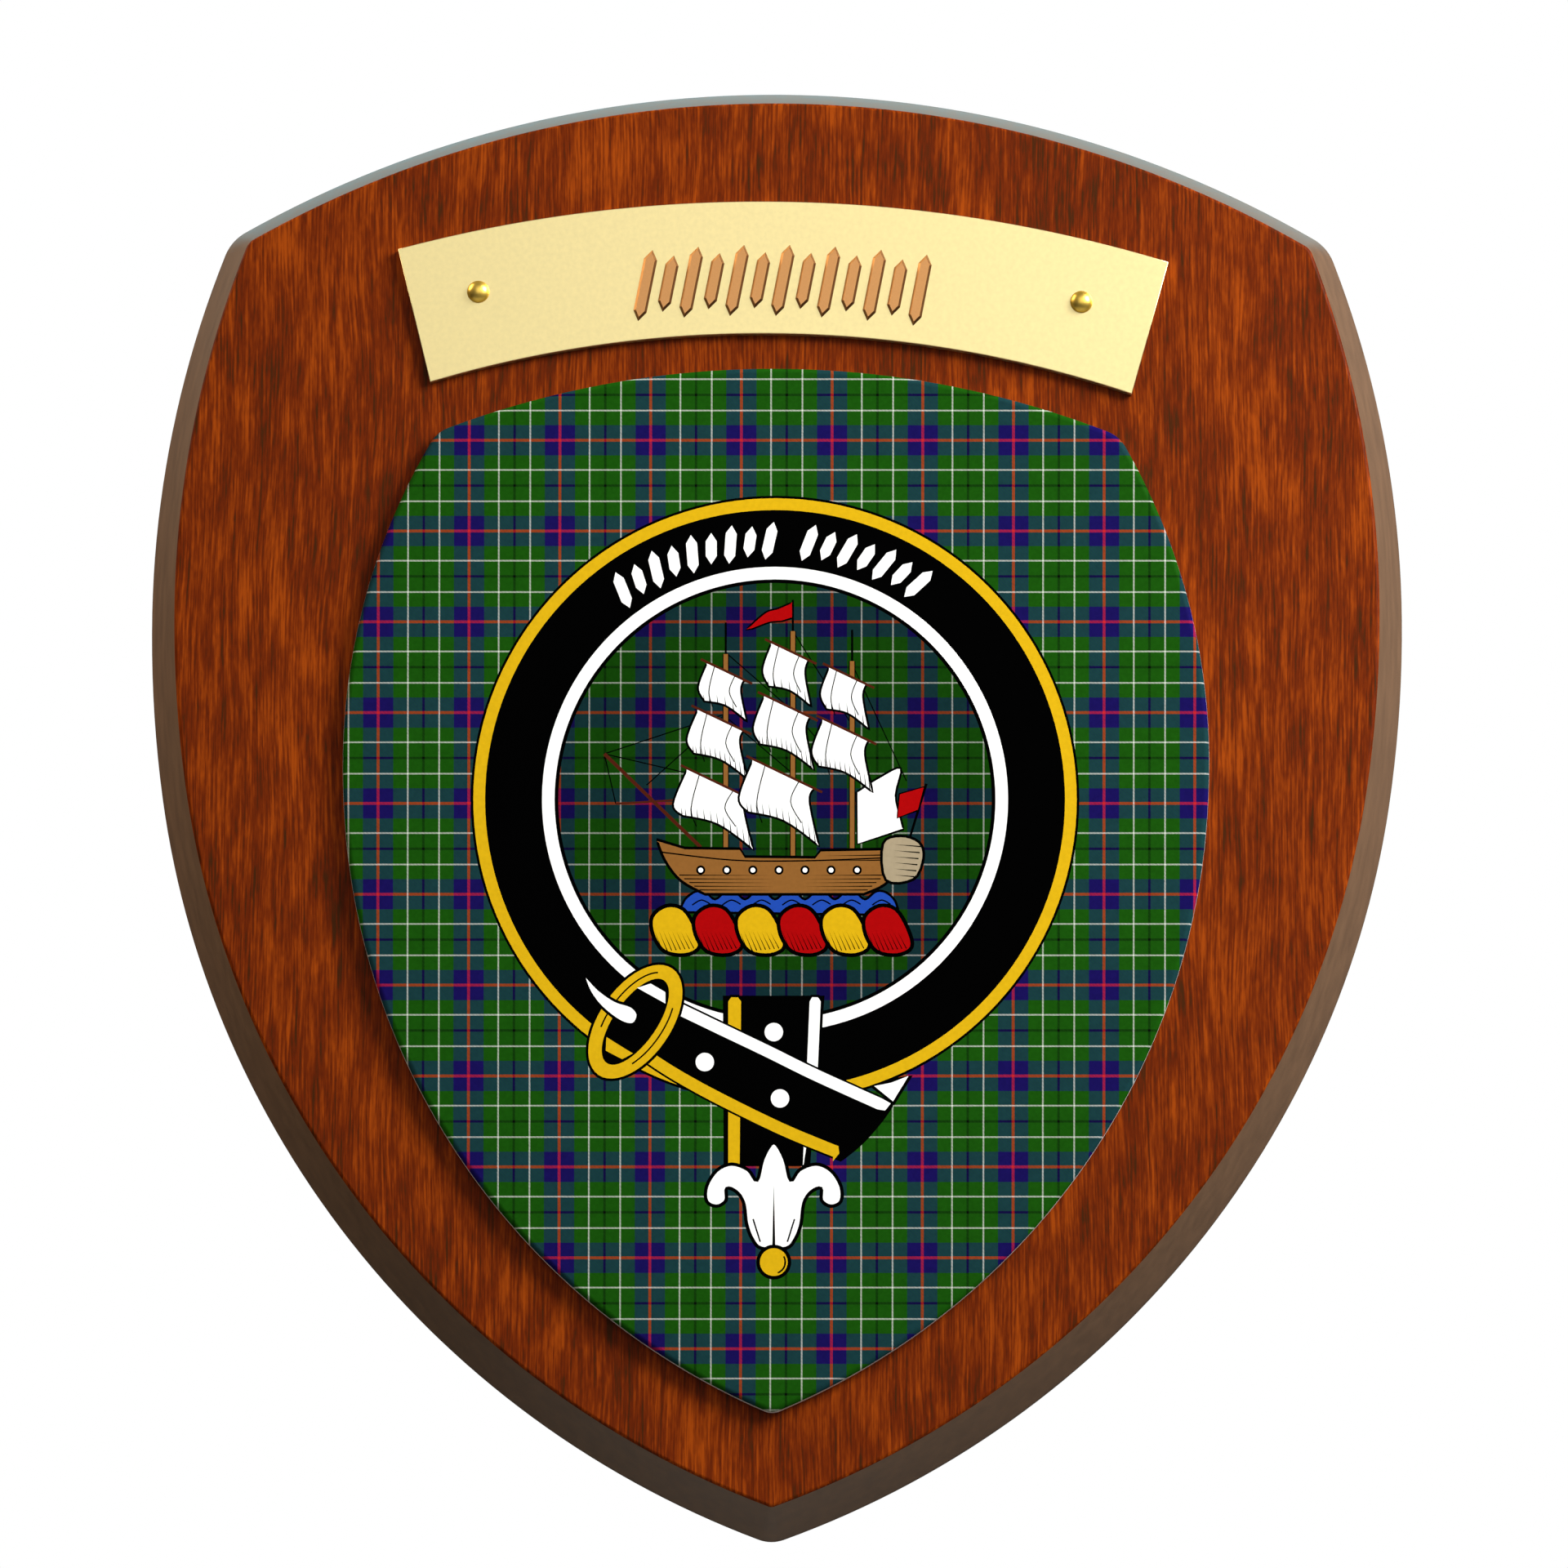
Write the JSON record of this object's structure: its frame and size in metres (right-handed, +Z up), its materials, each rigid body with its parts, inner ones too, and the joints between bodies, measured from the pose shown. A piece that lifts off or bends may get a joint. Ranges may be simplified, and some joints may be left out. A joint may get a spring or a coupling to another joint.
{
  "type": "heraldic shield wall plaque",
  "caption": "Wooden shield wall plaque with a bevelled edge, a printed shield panel, an arched brass name plate on round-headed pins and a hanging slot in the back.",
  "frame": {"origin": "middle of the flat back of the board, on its centre line and halfway up it", "axes": "+Z up, +Y into the wall out of the back, and the front faces -Y"},
  "size_m": [0.178, 0.0143, 0.2081],
  "materials": {
    "board_wood": "mahogany grain under satin varnish, with a dark painted bevel",
    "printed_panel": "colour print on a thin aluminium shield",
    "plate_brass": "satin",
    "pin_brass": "polished"
  },
  "bodies": {
    "root": {"shield_board": "board_wood", "tartan_panel": "printed_panel", "name_plate": "plate_brass", "plate_pin_left": "pin_brass", "plate_pin_right": "pin_brass"}
  },
  "joints": []
}
